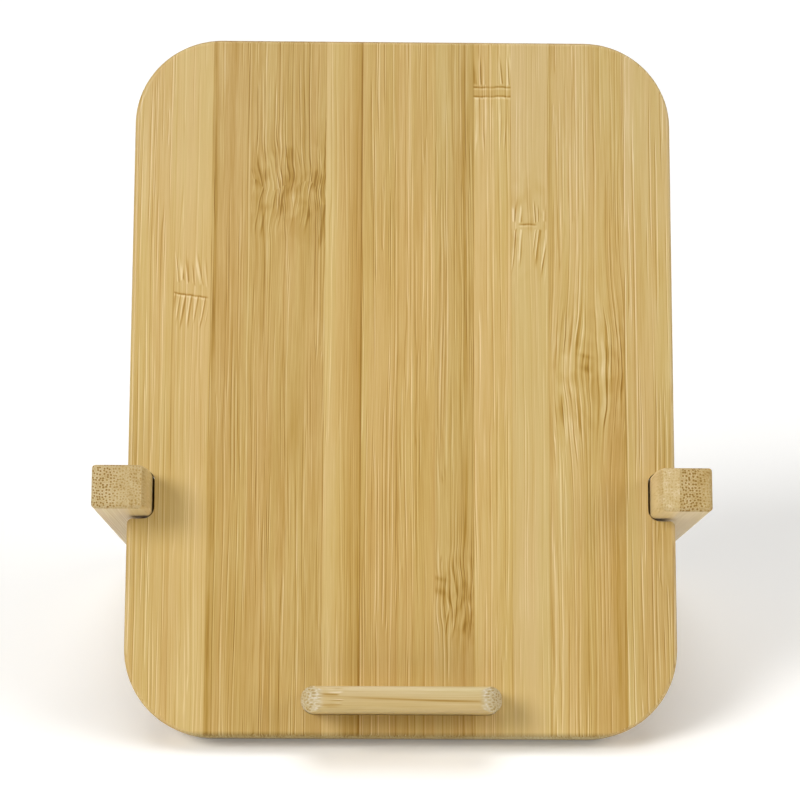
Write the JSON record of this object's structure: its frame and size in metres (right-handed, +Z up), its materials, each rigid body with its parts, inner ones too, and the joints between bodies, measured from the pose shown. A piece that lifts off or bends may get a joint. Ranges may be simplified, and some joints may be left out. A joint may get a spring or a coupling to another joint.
{
  "type": "tablet stand",
  "caption": "Flat-pack bamboo stand: a leaning panel of glued staves slots onto a U-shaped yoke whose two prongs hold a tablet, with a small plug-in ledge below for a phone.",
  "frame": {"origin": "middle of the footprint, on the table", "axes": "+Z up, +X to the right as seen from in front, -Y towards the user; the panel leans back towards +Y"},
  "size_m": [0.155, 0.1516, 0.1674],
  "materials": {
    "panel_bamboo": "fine-sanded bamboo with a thin satin oil",
    "yoke_bamboo": "fine-sanded bamboo, end grain showing at the prong tips",
    "ledge_bamboo": "fine-sanded pale bamboo"
  },
  "bodies": {
    "yoke": {"yoke_stave_1": "yoke_bamboo", "yoke_stave_2": "yoke_bamboo", "yoke_stave_3": "yoke_bamboo", "yoke_stave_4": "yoke_bamboo", "yoke_stave_5": "yoke_bamboo", "yoke_stave_6": "yoke_bamboo", "yoke_stave_7": "yoke_bamboo", "yoke_stave_8": "yoke_bamboo", "yoke_stave_9": "yoke_bamboo", "yoke_stave_10": "yoke_bamboo", "yoke_stave_11": "yoke_bamboo", "yoke_stave_12": "yoke_bamboo", "yoke_stave_13": "yoke_bamboo", "yoke_stave_14": "yoke_bamboo", "yoke_stave_15": "yoke_bamboo", "yoke_stave_16": "yoke_bamboo"},
    "panel": {"panel_stave_1": "panel_bamboo", "panel_stave_2": "panel_bamboo", "panel_stave_3": "panel_bamboo", "panel_stave_4": "panel_bamboo", "panel_stave_5": "panel_bamboo", "panel_stave_6": "panel_bamboo", "panel_stave_7": "panel_bamboo", "panel_stave_8": "panel_bamboo", "panel_stave_9": "panel_bamboo", "panel_stave_10": "panel_bamboo", "panel_stave_11": "panel_bamboo", "panel_stave_12": "panel_bamboo"},
    "ledge": {"ledge": "ledge_bamboo"}
  },
  "joints": [
    {"name": "panel_slide", "type": "slide", "parent": "yoke", "child": "panel", "axis": [0, -0.8979, 0.4403], "range_m": [0, 0.04]},
    {"name": "ledge_slide", "type": "slide", "parent": "panel", "child": "ledge", "axis": [0, -0.8979, 0.4403], "range_m": [0, 0.03]}
  ]
}
